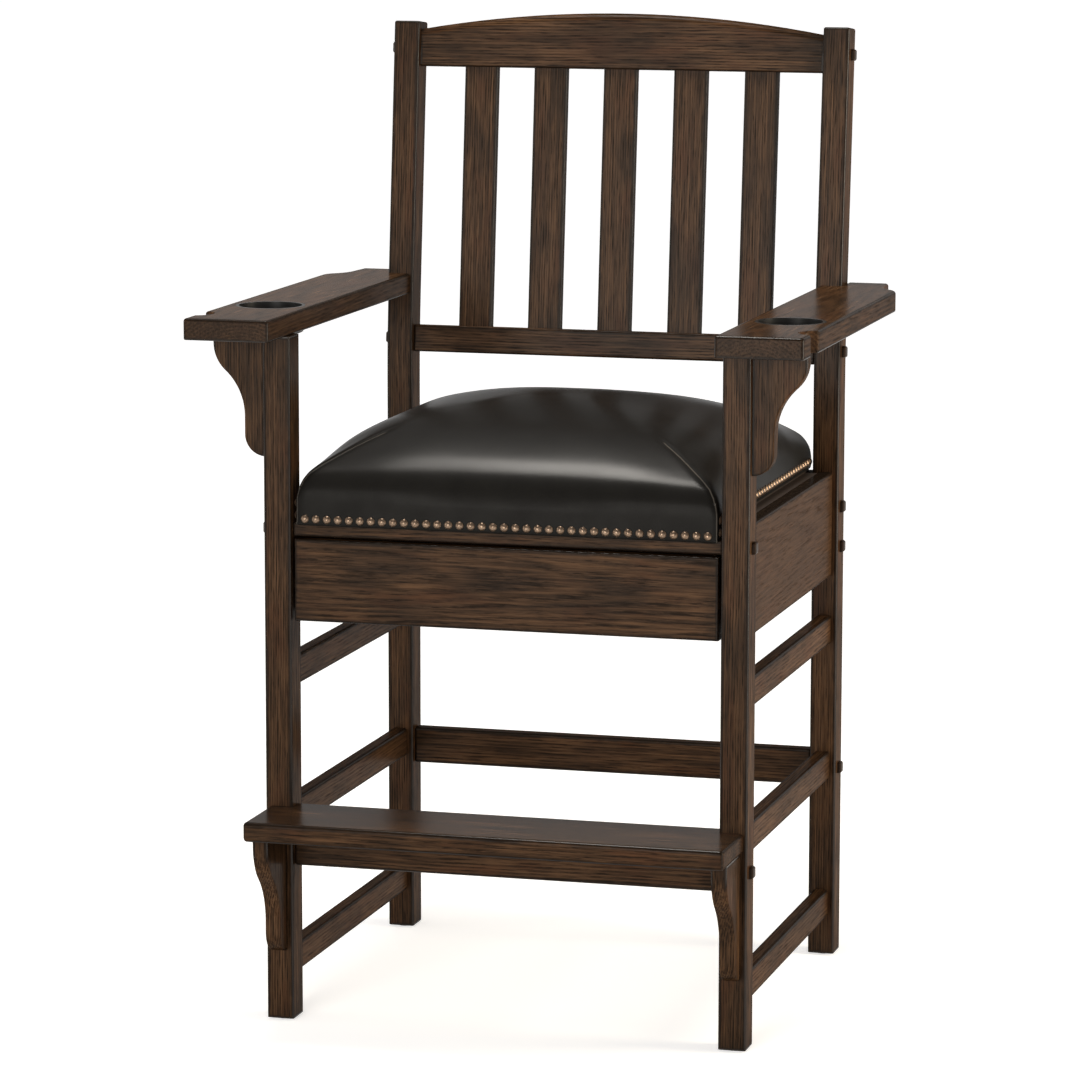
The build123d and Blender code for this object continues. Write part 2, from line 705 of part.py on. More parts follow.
def nail_space(place):
    """Hole for one nail through the cover and into the wood."""
    return place * rod("z", nail_shank_radius + fit_clearance, -overrun, nail_shank_length)


def nail_row(half, end_space):
    """Evenly spaced distances from the middle of a row, as many as its half length takes."""
    steps = int(2 * (half - end_space) / nail_pitch)
    return [(index - steps / 2) * nail_pitch for index in range(steps + 1)]


aim_rear = Rotation(-90, 0, 0)
aim_front = Rotation(90, 0, 0)
aim_left = Rotation(0, -90, 0)
end_row = nail_row(cushion_half_width, end_nail_space)
side_row = nail_row((cushion_rear - cushion_front) / 2, side_nail_space)
side_nail_height = side_cover_low + side_nail_lift
front_nails = [Pos(x, cushion_front, cover_low + front_nail_lift) * aim_rear for x in end_row]
rear_nails = [Pos(x, cushion_rear, side_nail_height) * aim_front for x in end_row]
side_nails = []
for y in side_row:
    side_nails.append(Pos(cushion_half_width, cushion_mid_y + y, side_nail_height) * aim_left)
for lift in corner_nail_lifts:
    corner_nail_y = cushion_front + corner_nail_set_back
    side_nails.append(Pos(cushion_half_width, corner_nail_y, cover_low + lift) * aim_left)
side_nail_pieces = [nail(place) for place in side_nails]
end_nail_pieces = [nail(place) for place in front_nails + rear_nails]
groups["seat_nails"] = both_sides(side_nail_pieces) + end_nail_pieces
side_nail_spaces = both_sides([nail_space(place) for place in side_nails])
front_nail_spaces = [nail_space(place) for place in front_nails]
rear_nail_spaces = [nail_space(place) for place in rear_nails]

# Seat frame: four bars, doweled at the corners, resting on the cleats and rails.
front_bar = block(-seat_half_width, seat_half_width, seat_front, seat_side_front, front_rail_top, seat_top)
front_bar_spaces = [dowel_space(seat_dowels["front"])] + screw_spaces(end_screws["front"] + rail_screws)
parts["seat_frame_front"] = front_bar - (both_sides(front_bar_spaces) + front_nail_spaces + side_nail_spaces)
rear_bar = block(-seat_half_width, seat_half_width, seat_side_rear, seat_rear, seat_rest, seat_top)
rear_bar_spaces = [dowel_space(seat_dowels["rear"])] + screw_spaces(end_screws["rear"])
parts["seat_frame_rear"] = rear_bar - (both_sides(rear_bar_spaces) + rear_nail_spaces + side_nail_spaces)
side_bar_inner = seat_half_width - seat_bar_width
side_bar = block(side_bar_inner, seat_half_width, seat_side_front, seat_side_rear, seat_rest, seat_top)
side_bar_spaces = [dowel_space(place) for place in seat_dowels.values()]
side_bar_spaces += screw_spaces(board_screws + cleat_screws)
pair("seat_frame_side", side_bar - (side_bar_spaces + side_nail_spaces))

# Seat board: plywood on the frame, under the foam.
seat_board = block(-seat_half_width, seat_half_width, seat_front, seat_rear, seat_top, board_top)
seat_board = fillet(tall_edges(seat_board, part_gap), seat_ease)
board_spaces = screw_spaces(board_screws + end_screws["front"] + end_screws["rear"])
parts["seat_board"] = seat_board - both_sides(board_spaces)


# Seat cushion: crowned foam under a leather cover that wraps down round the frame.
def crown_face(half, floor):
    """Side view of the crown: upright sides, a round shoulder and a flatter top."""
    crown_radius = (half - cushion_shoulder) ** 2 + cushion_crown**2 - cushion_shoulder**2
    crown_radius = crown_radius / (2 * (cushion_crown - cushion_shoulder))
    centre_z = cushion_crown - crown_radius
    share = crown_radius / hypot(half - cushion_shoulder, centre_z)
    turn_x = (half - cushion_shoulder) * share
    turn_z = centre_z - centre_z * share
    outline = [
        Line((-half, floor), (half, floor)),
        Line((half, floor), (half, 0)),
        TangentArc((half, 0), (turn_x, turn_z), tangent=(0, 1)),
        ThreePointArc((turn_x, turn_z), (0, cushion_crown), (-turn_x, turn_z)),
        TangentArc((-half, 0), (-turn_x, turn_z), tangent=(0, 1)),
        Line((-half, 0), (-half, floor)),
    ]
    return make_face(outline)


cushion_half_depth = (cushion_rear - cushion_front) / 2
long_crown = Plane.XZ * crown_face(cushion_half_width, cover_low - seat_top)
cross_crown = Plane.YZ * crown_face(cushion_half_depth, cover_low - seat_top)
cushion = extrude(long_crown, amount=cushion_half_depth, both=True)
cushion = cushion & extrude(cross_crown, amount=cushion_half_width, both=True)
cushion = Pos(0, cushion_mid_y, seat_top) * cushion
cover_corner = cushion_front + cover_corner_depth
cavity_half = cushion_half_width - cover_thickness
wide = cushion_half_width + overrun
cavity = block(
    -cavity_half,
    cavity_half,
    cushion_front + cover_thickness,
    cushion_rear - cover_thickness,
    cover_low - overrun,
    board_top + cushion_gap,
)
below_cover = cover_low - overrun
below_sides = block(-wide, wide, cover_corner, cushion_rear + overrun, below_cover, side_cover_low)
corner_low = front_rail_top + cushion_gap
corner_front = cushion_front + cover_thickness
below_corners = block(-wide, wide, corner_front, cover_corner, below_cover, corner_low)
cushion = cushion - [cavity, below_sides, below_corners]
parts["seat_cushion"] = cushion - (side_nail_spaces + front_nail_spaces + rear_nail_spaces)

# Seat cleats along the aprons carry the sides of the seat frame.
cleat_inner = rail_inner - cleat_width
cleat = block(cleat_inner, rail_inner, front_rail_rear, post_front, cleat_low, seat_rest)
pair("seat_cleat", cleat - screw_spaces(cleat_screws))

# Corner blocks under the cleats, between the aprons and the rear rail, notched round the posts.
block_rear = post_mid_y - cross_rail_thickness / 2
block_points = [
    (rail_inner, block_rear - corner_block_leg),
    (rail_inner, post_front),
    (leg_inner, post_front),
    (leg_inner, block_rear),
    (rail_inner - corner_block_width, block_rear),
]
block_low = cleat_low - corner_block_height
corner_block = extrude(make_face(Polyline(*block_points, close=True)), amount=corner_block_height)
pair("corner_block", Pos(0, 0, block_low) * corner_block)

# Drawer front, between the front legs and below the seat front rail.
drawer_front_high = front_rail_low - drawer_gap
drawer_front_low = drawer_front_high - drawer_front_height
drawer_front_rear = drawer_front_set_in + drawer_front_thickness
drawer_front = block(
    -drawer_front_half_width,
    drawer_front_half_width,
    drawer_front_set_in,
    drawer_front_rear,
    drawer_front_low,
    drawer_front_high,
)
front_face_edges = drawer_front.edges().group_by(Axis.Y)[0]
drawer_front = fillet(front_face_edges, drawer_front_ease)
drawer_inner = drawer_half_width - drawer_side_thickness
drawer_side_low = drawer_front_low + drawer_side_lift
drawer_side_high = drawer_side_low + drawer_side_height
side_start = drawer_front_rear - drawer_housing
housing_high = drawer_side_high + fit_clearance
side_housing = block(
    drawer_inner - fit_clearance,
    drawer_half_width + fit_clearance,
    side_start - fit_clearance,
    drawer_front_rear + overrun,
    drawer_side_low - fit_clearance,
    housing_high,
)
bottom_low = drawer_side_low + drawer_bottom_lift
bottom_high = bottom_low + drawer_bottom_thickness
bottom_front = drawer_front_rear - drawer_groove
bottom_half = drawer_inner + drawer_groove
bottom_groove = block(
    -bottom_half - fit_clearance,
    bottom_half + fit_clearance,
    bottom_front - fit_clearance,
    drawer_rear + overrun,
    bottom_low - fit_clearance,
    bottom_high + fit_clearance,
)
parts["drawer_front"] = drawer_front - (both_sides([side_housing]) + [bottom_groove])

# Drawer sides, grooved outside for the runners and inside for the bottom.
drawer_side = block(
    drawer_inner, drawer_half_width, side_start, drawer_rear, drawer_side_low, drawer_side_high
)
runner_high = runner_low + runner_height
runner_space = block(
    drawer_half_width - runner_groove,
    drawer_half_width + overrun,
    drawer_front_rear,
    drawer_rear + overrun,
    runner_low - slide_clearance,
    runner_high + slide_clearance,
)
back_rear = drawer_rear - drawer_back_inset
back_front = back_rear - drawer_back_thickness
back_half = drawer_inner + drawer_back_housing
back_space = block(
    -back_half - fit_clearance,
    back_half + fit_clearance,
    back_front - fit_clearance,
    back_rear + fit_clearance,
    bottom_high,
    drawer_side_high + overrun,
)
pair("drawer_side", drawer_side - [runner_space, bottom_groove, back_space])

# Drawer back, standing on the bottom and higher than the sides, so that it meets the stops.
back_high = drawer_side_high + drawer_catch
parts["drawer_back"] = block(-back_half, back_half, back_front, back_rear, bottom_high, back_high)
parts["drawer_bottom"] = block(-bottom_half, bottom_half, bottom_front, back_rear, bottom_low, bottom_high)

# Drawer runners on the aprons, each with a nose beside the leg that the closed front rests on.
runner = block(runner_inner, rail_inner, leg_depth, post_front, runner_low, runner_high)
nose_start = drawer_front_rear + slide_clearance
nose = block(runner_inner, runner_inner + runner_nose, nose_start, leg_depth, runner_low, runner_high)
pair("drawer_runner", runner + nose - screw_spaces(runner_screws))

# Drawer stops under the cleats.
stop_low = drawer_side_high + stop_gap
stop = block(cleat_inner, cleat_inner + stop_width, stop_rear - stop_length, stop_rear, stop_low, cleat_low)
pair("drawer_stop", stop)

# Frame bolts, barrel nuts and square caps.
fasteners = [bolt_pieces(name, station) for name, station in {**front_bolts, **rear_bolts}.items()]
groups["frame_bolts"] = both_sides([pieces[0] for pieces in fasteners])
groups["barrel_nuts"] = both_sides([pieces[1] for pieces in fasteners])
groups["bolt_caps"] = both_sides([pieces[2] for pieces in fasteners])

# Dowels.
side_places = [place for places in cross_dowels.values() for place in places]
side_places += [place for places in leg_dowels.values() for place in places]
side_places += [arm_bracket_dowel, foot_bracket_dowel, arm_post_dowel] + list(seat_dowels.values())
all_dowels = both_sides([dowel(place) for place in side_places]) + [dowel(place) for place in board_dowels]
groups["dowels"] = all_dowels

# Screws.
screw_places = board_screws + end_screws["front"] + end_screws["rear"]
screw_places += cleat_screws + rail_screws + runner_screws
groups["screws"] = both_sides([screw(place) for place in screw_places])

# The pieces are moved so that the middle of the chair's depth is at Y = 0, and written out.
rear_extent = parts["rear_post_right"].bounding_box().max.Y
to_middle = Pos(0, (footboard_reach - rear_extent) / 2, 0)
os.makedirs("parts", exist_ok=True)
for name, piece in parts.items():
    export_step(to_middle * piece, "parts/" + name + ".step")
for name, pieces in groups.items():
    export_step(Compound(children=[to_middle * piece for piece in pieces]), "parts/" + name + ".step")
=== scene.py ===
import math
import random

import bpy
from mathutils import Matrix, Vector


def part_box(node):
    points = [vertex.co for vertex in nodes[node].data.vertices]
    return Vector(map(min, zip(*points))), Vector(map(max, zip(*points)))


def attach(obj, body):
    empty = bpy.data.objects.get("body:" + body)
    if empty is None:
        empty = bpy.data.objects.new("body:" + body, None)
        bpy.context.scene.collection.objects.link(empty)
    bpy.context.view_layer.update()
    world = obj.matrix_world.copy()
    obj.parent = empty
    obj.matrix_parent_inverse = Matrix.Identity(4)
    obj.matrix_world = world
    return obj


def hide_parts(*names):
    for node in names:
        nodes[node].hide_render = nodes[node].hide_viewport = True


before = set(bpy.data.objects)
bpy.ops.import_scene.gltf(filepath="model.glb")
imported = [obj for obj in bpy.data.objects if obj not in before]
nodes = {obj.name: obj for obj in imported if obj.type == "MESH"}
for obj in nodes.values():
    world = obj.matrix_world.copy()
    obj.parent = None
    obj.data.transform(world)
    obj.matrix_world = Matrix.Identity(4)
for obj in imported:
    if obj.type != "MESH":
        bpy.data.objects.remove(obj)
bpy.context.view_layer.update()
both = ("left", "right")

# Camera: where the photographer stood, a little to the sitter's left and just above the arms, with a
# long lens. The photograph's own camera was level with a shifted lens; this one looks down instead.
camera_place = (1.6052, -5.9047, 1.5571)
camera_turn = math.radians(15.3984)
camera_dip = math.radians(8.9807)
camera_roll = math.radians(0.0789)
level = math.pi / 2
bpy.ops.object.camera_add()
camera = bpy.context.object
camera.name = "photograph_camera"
camera.matrix_world = (
    Matrix.Translation(camera_place)
    @ Matrix.Rotation(camera_turn, 4, "Z")
    @ Matrix.Rotation(level - camera_dip, 4, "X")
    @ Matrix.Rotation(camera_roll, 4, "Z")
)
camera.data.sensor_width = 36
camera.data.lens = 161.548
camera.data.clip_end = 200
bpy.context.scene.camera = camera
bpy.context.scene.view_settings.view_transform = "Standard"


# Studio: a pale floor that runs out to a pale horizon, a soft box overhead, a warm wide one at the right, a
# tall narrow one at the left and a wide weak one in front, so that dark wood shows its edges and black
# leather its crown. The floor and the room look white to the camera and in gloss, and stay plain as light.
class Blend:
    """One socket's value while a finish is mixed. Sums and products on it add Math nodes."""

    def __init__(self, finish, socket):
        self.finish = finish
        self.socket = socket

    def __add__(self, other):
        return self.finish.maths("ADD", self, other)

    __radd__ = __add__

    def __sub__(self, other):
        return self.finish.maths("SUBTRACT", self, other)

    def __rsub__(self, other):
        return self.finish.maths("SUBTRACT", other, self)

    def __mul__(self, other):
        return self.finish.maths("MULTIPLY", self, other)

    __rmul__ = __mul__

    def __truediv__(self, other):
        return self.finish.maths("DIVIDE", self, other)

    def least(self, other):
        return self.finish.maths("MINIMUM", self, other)

    def most(self, other):
        return self.finish.maths("MAXIMUM", self, other)

    def size(self):
        """The value without its sign."""
        return self.most(0 - self)

    def part(self):
        """What is left after the whole number."""
        return self.finish.maths("FRACT", self)

    def root(self):
        return self.finish.maths("SQRT", self)

    def rise(self, low, high):
        """0 below low, 1 above high, and a smooth rise between; it falls if low is the larger."""
        falls = low > high
        if falls:
            low, high = high, low
        settings = {"interpolation_type": "SMOOTHSTEP"}
        sockets = {"Value": self, "From Min": low, "From Max": high}
        made = self.finish.node("MapRange", settings, sockets, "Result")
        return 1 - made if falls else made


class Finish:
    """A material, or the world, whose nodes are laid in order from its pattern to its surface."""

    def __init__(self, name, owner=None):
        self.owner = owner or bpy.data.materials.new(name)
        self.owner.use_nodes = True
        self.tree = self.owner.node_tree
        self.tree.nodes.clear()

    def node(self, kind, settings, sockets, output=0):
        """Adds a node: its settings first, then values or links for its sockets. Returns one output."""
        made = self.tree.nodes.new("ShaderNode" + kind)
        for setting, value in settings.items():
            setattr(made, setting, value)
        for socket, value in sockets.items():
            if isinstance(socket, str):
                goal = next(s for s in made.inputs if s.name == socket and s.enabled)
            else:
                goal = made.inputs[socket]
            if isinstance(value, Blend):
                self.tree.links.new(value.socket, goal)
            else:
                goal.default_value = value
        if isinstance(output, str):
            return Blend(self, next(s for s in made.outputs if s.name == output and s.enabled))
        return Blend(self, made.outputs[output]) if made.outputs else None

    def beside(self, value, output):
        """Another output of the node that gave a value."""
        return Blend(self, value.socket.node.outputs[output])

    def maths(self, operation, *values):
        return self.node("Math", {"operation": operation}, dict(enumerate(values)))

    def mix(self, share, first, second):
        """Mixes two colours, from first at 0 to second at 1."""
        first, second = (v if isinstance(v, Blend) else (*v, 1) for v in (first, second))
        sockets = {"Factor": share, "A": first, "B": second}
        return self.node("Mix", {"data_type": "RGBA"}, sockets, "Result")

    def place(self):
        """Where a point of the piece is, in metres, as three values."""
        return self.split(self.node("TexCoord", {}, {}, "Object"))

    def split(self, vector):
        across = self.node("SeparateXYZ", {}, {"Vector": vector})
        return [across, self.beside(across, "Y"), self.beside(across, "Z")]

    def join(self, x, y, z):
        return self.node("CombineXYZ", {}, {"X": x, "Y": y, "Z": z}, "Vector")

    def mottle(self, spot, scale, detail=2.0, roughness=0.5):
        """Soft noise from 0 to 1, with so many cells to the metre."""
        sockets = {"Vector": spot, "Scale": scale, "Detail": detail, "Roughness": roughness}
        return self.node("TexNoise", {}, sockets, 0)

    def skin(self, sockets, relief, depth, strength):
        """The surface itself, with its relief, as the material's output."""
        bump = {"Height": relief, "Distance": depth, "Strength": strength}
        sockets = {**sockets, "Normal": self.node("Bump", {}, bump, "Normal")}
        return self.show(self.node("BsdfPrincipled", {}, sockets, "BSDF"))

    def show(self, surface):
        kind = "OutputWorld" if isinstance(self.owner, bpy.types.World) else "OutputMaterial"
        self.node(kind, {}, {"Surface": surface})
        return self.owner


def wear(piece, material):
    """Puts a finish on every slot of a piece."""
    for place in piece.material_slots:
        place.material = material
    if not piece.material_slots:
        piece.data.materials.append(material)


floor_size = 120.0
floor_tones = ((0.84, 0.84, 0.84), (0.87, 0.87, 0.87))
fibre_scale = 3.0
floor_roughness = 0.6
near_and_far = (0.4, 5.0)
near_whiteness = 0.58
far_whiteness = 0.23
white = (1.0, 1.0, 1.0)
bpy.ops.object.select_all(action="DESELECT")
bpy.ops.mesh.primitive_plane_add(size=floor_size, location=(0, 0, 0))
floor = bpy.context.object
floor.name = "studio_floor"
paper = Finish("floor_paper")
x, y, z = paper.place()
fibre = paper.mottle(paper.join(x, y, z), fibre_scale)
matt = {"Color": paper.mix(fibre, *floor_tones), "Roughness": floor_roughness}
sheet = paper.node("BsdfDiffuse", {}, matt)
distance = (x * x + y * y).root()
seen = paper.node("LightPath", {}, {}, "Is Camera Ray")
for ray in ("Is Glossy Ray", "Is Transmission Ray"):
    seen = seen.most(paper.node("LightPath", {}, {}, ray))
whiteness = distance.rise(*near_and_far) * far_whiteness + near_whiteness
glow = paper.node("Emission", {}, {"Color": (*white, 1), "Strength": seen * whiteness})
wear(floor, paper.show(paper.node("AddShader", {}, {0: sheet, 1: glow})))

horizon = (0.03, 0.24)
ceiling_tone = (0.25, 0.24, 0.23)
sky = bpy.data.worlds.new("studio_room")
bpy.context.scene.world = sky
room = Finish("studio_room", sky)
across, ahead, up = room.split(room.node("TexCoord", {}, {}, "Generated"))
room_shade = room.mix(up.rise(*horizon), white, ceiling_tone)
room.show(room.node("Background", {}, {"Color": room_shade, "Strength": 1.0}, "Background"))


def soft_box(name, place, aim_at, width, height, strength, tone=(1.0, 0.955, 0.89)):
    """A flat lamp of even brightness; its strength is the brightness that a surface would reflect."""
    lamp = bpy.data.lights.new(name, "AREA")
    lamp.shape = "RECTANGLE"
    lamp.size = width
    lamp.size_y = height
    lamp.energy = strength * width * height * math.pi
    lamp.color = tone
    stand = bpy.data.objects.new(name, lamp)
    bpy.context.scene.collection.objects.link(stand)
    stand.location = place
    direction = Vector(aim_at) - Vector(place)
    stand.rotation_euler = direction.to_track_quat("-Z", "Y").to_euler()


soft_box(
    "overhead_box",
    place=(-0.4, -0.02, 3.0),
    aim_at=(-0.2, 0.0, 0.7),
    width=0.9,
    height=0.6,
    strength=19.0,
)
soft_box(
    "right_box",
    place=(2.6, 0.1, 1.1),
    aim_at=(0.0, 0.0, 0.5),
    width=0.9,
    height=2.0,
    strength=10.0,
    tone=(1.0, 0.87, 0.68),
)
soft_box(
    "left_strip",
    place=(-2.8, -0.8, 1.3),
    aim_at=(0.0, 0.0, 0.7),
    width=0.5,
    height=2.0,
    strength=3.0,
)
soft_box(
    "front_fill",
    place=(-0.6, -4.5, 1.0),
    aim_at=(0.0, 0.0, 0.25),
    width=2.2,
    height=1.8,
    strength=6.2,
)


# Legs and rear posts: solid oak, 35 by 40 mm, straight grained, planed and eased. The posts are sawn
# bent from the seat up in one piece. All the oak is stained dark, with a darker glaze left along the
# edges and at the ends, and a thin satin lacquer over it.
oak_body = (0.052, 0.0262, 0.0122)
oak_light = (0.128, 0.066, 0.032)
oak_red = (0.090, 0.038, 0.017)
oak_dark = (0.0095, 0.0066, 0.0046)
post_depth = 0.04
knee_height = 0.812
lean = math.radians(5.466)

# The grain's marks, as cells to the metre along and across it, and how far each darkens or reddens.
year_width = 0.0027
arched_year_width = 0.0044
straight_slant = (0.8, 0.6, 0.12)
straight_waver = (0.008, 0.0016)
arched_waver = (0.01, 0.004)
slow_cells = (1.6, 7)
ripple_cells = (9, 45)
fibre_cells = (9, 300)
dash_cells = (30, 480)
cloud_cells = (7, 24)
blush_cells = (11, 40)
ragged_cells = 60
fibre_spread = 0.13
red_share = 0.7
line_share = 0.16
dash_share = 0.38
cloud_share = 0.5
pore_share = 0.66
edge_reach = (0.0064, 0.0014)
edge_waver = 0.004
edge_glaze = 0.88
end_reach = (0.035, 0.0)
end_waver = 0.02
end_glaze = 0.4
rim_reach = (0.0026, 0.0008)
rim_sheen = 0.5
flank_shade_reach = (0.0012, 0.0004)
top_reach = (0.0014, 0.0006)
satin = 0.14
draw = random.Random(41)


def stained_oak(
    node,
    along,
    extent=None,
    arched=False,
    bent_at=None,
    crown=None,
    boldness=1.0,
    darkness=0.0,
    flank_painted_shade=0.0,
    top_painted_shade=0.0,
    top_sheen=0.0,
):
    """Dark stained oak for one piece. along is the axis of its grain and extent its box, if that isn't the
    node's own. An arched board is sawn flat near the heart, so its rings show as arches, and any other
    shows fine straight lines. bent_at is where a bent piece starts to lean, crown the radius of an arched
    top, and boldness how strongly the grain is marked."""
    oak = Finish("oak_" + node)
    x, y, z = oak.place()
    if bent_at is not None:
        y = y - (z - bent_at).most(0) * math.tan(lean)
    top = z if crown is None else z + x * x / (2 * crown)
    low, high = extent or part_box(node)
    gaps = [
        (x - low[0]).least(high[0] - x),
        (y - low[1]).least(high[1] - y),
        (z - low[2]).least(high[2] - top),
    ]
    order = {"x": (0, 1, 2), "y": (1, 0, 2), "z": (2, 0, 1)}[along]
    length, side, depth = ((x, y, z)[i] - (low[i] + high[i]) / 2 for i in order)
    wide_side = high[order[1]] - low[order[1]] > high[order[2]] - low[order[2]]

    # The heart of the log lies far behind an arched board, a little off its middle and slightly tilted.
    seed = draw.uniform(0, 50)
    tilt = draw.choice((-1, 1)) * draw.uniform(0.02, 0.045)
    off = draw.uniform(-0.02, 0.02)
    far = draw.uniform(0.05, 0.08)

    def marks(cells, detail, roughness=0.5, start=seed):
        run, across = cells
        spot = oak.join(length * run + start, side * across, depth * across)
        return oak.mottle(spot, 1.0, detail, roughness)

    slow = marks(slow_cells, 1.0) - 0.5
    ripple = marks(ripple_cells, 2.0) - 0.5
    if arched:
        near, deep = (side - off, depth + far) if wide_side else (depth - off, side + far)
        deep = deep + length * tilt
        rings = (near * near + deep * deep).root() + slow * arched_waver[0] + ripple * arched_waver[1]
        year = rings / arched_year_width
    else:
        rings = side * straight_slant[0] + depth * straight_slant[1] + length * (tilt * straight_slant[2])
        rings = rings + slow * straight_waver[0] + ripple * straight_waver[1]
        year = rings / year_width
    year = (year + seed).part()
    early = year.rise(0.0, 0.45) * year.rise(1.0, 0.62)
    fibre = marks(fibre_cells, 4.0, 0.65)
    dashes = marks(dash_cells, 3.0, 0.7)
    pores = dashes.rise(0.5, 0.62) * (early * 0.85 + 0.15)
    cloud = marks(cloud_cells, 3.0, 0.6)
    blush = marks(blush_cells, 2.0, start=-seed)
    spread = fibre_spread / boldness
    colour = oak.mix(fibre.rise(0.5 - spread, 0.52 + spread), oak_body, oak_light)
    colour = oak.mix(blush.rise(0.5, 0.72) * (red_share * boldness), colour, oak_red)
    lines = early * (dashes.rise(0.35, 0.6) * dash_share + line_share)
    colour = oak.mix(lines * boldness, colour, oak_dark)
    colour = oak.mix(cloud.rise(0.6, 0.34) * (cloud_share * boldness), colour, oak_dark)
    colour = oak.mix(pores * (pore_share * boldness), colour, oak_dark)

    # An arris is where two faces meet, so the second smallest of the three gaps tells how near one is.
    least = gaps[0].least(gaps[1])
    most = gaps[0].most(gaps[1])
    arris = least.most(most.least(gaps[2]))
    ragged = oak.mottle(oak.join(x * ragged_cells + seed, y * ragged_cells, z * ragged_cells), 1.0) - 0.5
    edge = (arris + ragged * edge_waver).rise(*edge_reach)
    ends = (gaps[order[0]] + ragged * end_waver).rise(*end_reach)
    upper_face = (high[2] - z).rise(*top_reach)
    # One mask darkens the colour: the glaze along the edges and at the ends, an even darkness over the
    # whole piece where asked, and the painted shade on flanks and tops.
    glaze_and_painted_shade = (edge * edge_glaze).most(ends * end_glaze).most(darkness)
    # Painted shade: where asked, the faces that look sideways are darkened as shade between neighbouring
    # parts.
    if flank_painted_shade:
        glaze_and_painted_shade = glaze_and_painted_shade.most(gaps[0].rise(*flank_shade_reach) * flank_painted_shade)
    # Painted shade: where asked, the top face is darkened as shade under the seat's leather.
    if top_painted_shade:
        glaze_and_painted_shade = glaze_and_painted_shade.most(upper_face * top_painted_shade)
    sockets = {
        "Base Color": oak.mix(glaze_and_painted_shade, colour, oak_dark),
        "Roughness": 0.4 + pores * 0.2 + (cloud - 0.5) * 0.12 - edge * 0.06,
        "Specular IOR Level": 0.0,
        "Coat Weight": satin - pores * 0.08 + arris.rise(*rim_reach) * rim_sheen + upper_face * top_sheen,
        "Coat Roughness": 0.27,
    }
    return oak.skin(sockets, 1 - pores * 0.8 - early * 0.2 + fibre * 0.2, 0.0004, 0.5)


for side in both:
    leg = "front_leg_" + side
    wear(nodes[leg], stained_oak(leg, "z"))
    post = "rear_post_" + side
    low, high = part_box(post)
    high.y = low.y + post_depth
    wear(nodes[post], stained_oak(post, "z", (low, high), bent_at=knee_height))

# Side rails: a deep apron under the seat and three stretchers below on each side, tenoned into the leg and
# the post. The aprons are flat-sawn boards whose arched grain shows softly, evenly darkened all over; their
# tops are painted near black as shade under the seat's leather.
for side in both:
    apron = "side_apron_" + side
    apron_oak = stained_oak(apron, "y", arched=True, boldness=0.35, darkness=0.3, top_painted_shade=0.95)
    wear(nodes[apron], apron_oak)
    for height in ("upper_", "middle_", "lower_"):
        stretcher = "side_stretcher_" + height + side
        wear(nodes[stretcher], stained_oak(stretcher, "y", boldness=0.7))

# Cross rails: the front rail under the leather, the rear rail, the rear stretcher, the foot rail and the
# footboard, all tenoned or dowelled. Feet have rubbed the footboard's top to a sheen.
for rail in ("seat_front_rail", "rear_stretcher", "foot_rail"):
    wear(nodes[rail], stained_oak(rail, "x"))
wear(nodes["seat_rear_rail"], stained_oak("seat_rear_rail", "x", arched=True))
wear(nodes["footboard"], stained_oak("footboard", "x", arched=True, top_sheen=0.52))

# Back: an arched crest rail and a lower rail between the posts, with five slats let into both. The
# slats' narrow sides are painted dark as shade between the slats.
crest_radius = 1.568
wear(nodes["crest_rail"], stained_oak("crest_rail", "x", crown=crest_radius))
wear(nodes["lower_back_rail"], stained_oak("lower_back_rail", "x"))
slat_thickness = 0.013
for number in range(1, 6):
    slat = f"back_slat_{number}"
    low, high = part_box(slat)
    high.y = low.y + slat_thickness
    wear(nodes[slat], stained_oak(slat, "z", (low, high), bent_at=low.z, flank_painted_shade=0.75))

# Arms and their S-shaped brackets, and the brackets under the footboard: sawn to shape from flat boards
# and dowelled on. Hands have rubbed the arms' tops to a sheen.
for side in both:
    arm = "arm_" + side
    # The arms' sides get the same painted shade, more lightly.
    arm_oak = stained_oak(arm, "y", arched=True, boldness=0.7, flank_painted_shade=0.45, top_sheen=0.3)
    wear(nodes[arm], arm_oak)
    for bracket in ("arm_bracket_" + side, "foot_bracket_" + side):
        wear(nodes[bracket], stained_oak(bracket, "z"))

# Drawer front: one flat-sawn board with arched grain, screwed to the drawer box and set flush between
# the front legs with a dark gap round it.
wear(nodes["drawer_front"], stained_oak("drawer_front", "x", arched=True))


# Inner wood: the drawer box and its runners, and the corner blocks, are planed and left plain. The cleats
# and the seat frame, which show at the leather's edge, are stained.
def plain_wood(name, tone, along):
    wood = Finish(name)
    x, y, z = wood.place()
    run, across = 5, 90
    stretch = [run if axis == along else across for axis in "xyz"]
    grain = wood.mottle(wood.join(x * stretch[0], y * stretch[1], z * stretch[2]), 1.0, 3.0)
    colour = wood.mix(grain, [c * 0.75 for c in tone], [c * 1.15 for c in tone])
    return wood.skin({"Base Color": colour, "Roughness": 0.6 + grain * 0.15}, grain, 0.0003, 0.4)


planed_tone = (0.45, 0.31, 0.19)
plywood_tone = (0.52, 0.38, 0.24)
beech_tone = (0.6, 0.45, 0.28)
stained_tone = (0.035, 0.021, 0.013)
long_wood = plain_wood("planed_wood_lengthwise", planed_tone, "y")
for side in both:
    for node in ("corner_block_", "drawer_runner_", "drawer_stop_", "drawer_side_"):
        wear(nodes[node + side], long_wood)
    wear(nodes["seat_cleat_" + side], plain_wood("stained_cleat_" + side, stained_tone, "y"))
    wear(nodes["seat_frame_side_" + side], plain_wood("stained_frame_" + side, stained_tone, "y"))
wear(nodes["drawer_back"], plain_wood("planed_wood_crosswise", planed_tone, "x"))
for node in ("seat_frame_front", "seat_frame_rear"):
    wear(nodes[node], plain_wood("stained_" + node, stained_tone, "x"))
for node in ("seat_board", "drawer_bottom"):
    wear(nodes[node], plain_wood("plywood_" + node, plywood_tone, "x"))
wear(nodes["dowels"], plain_wood("beech_dowels", beech_tone, "x"))


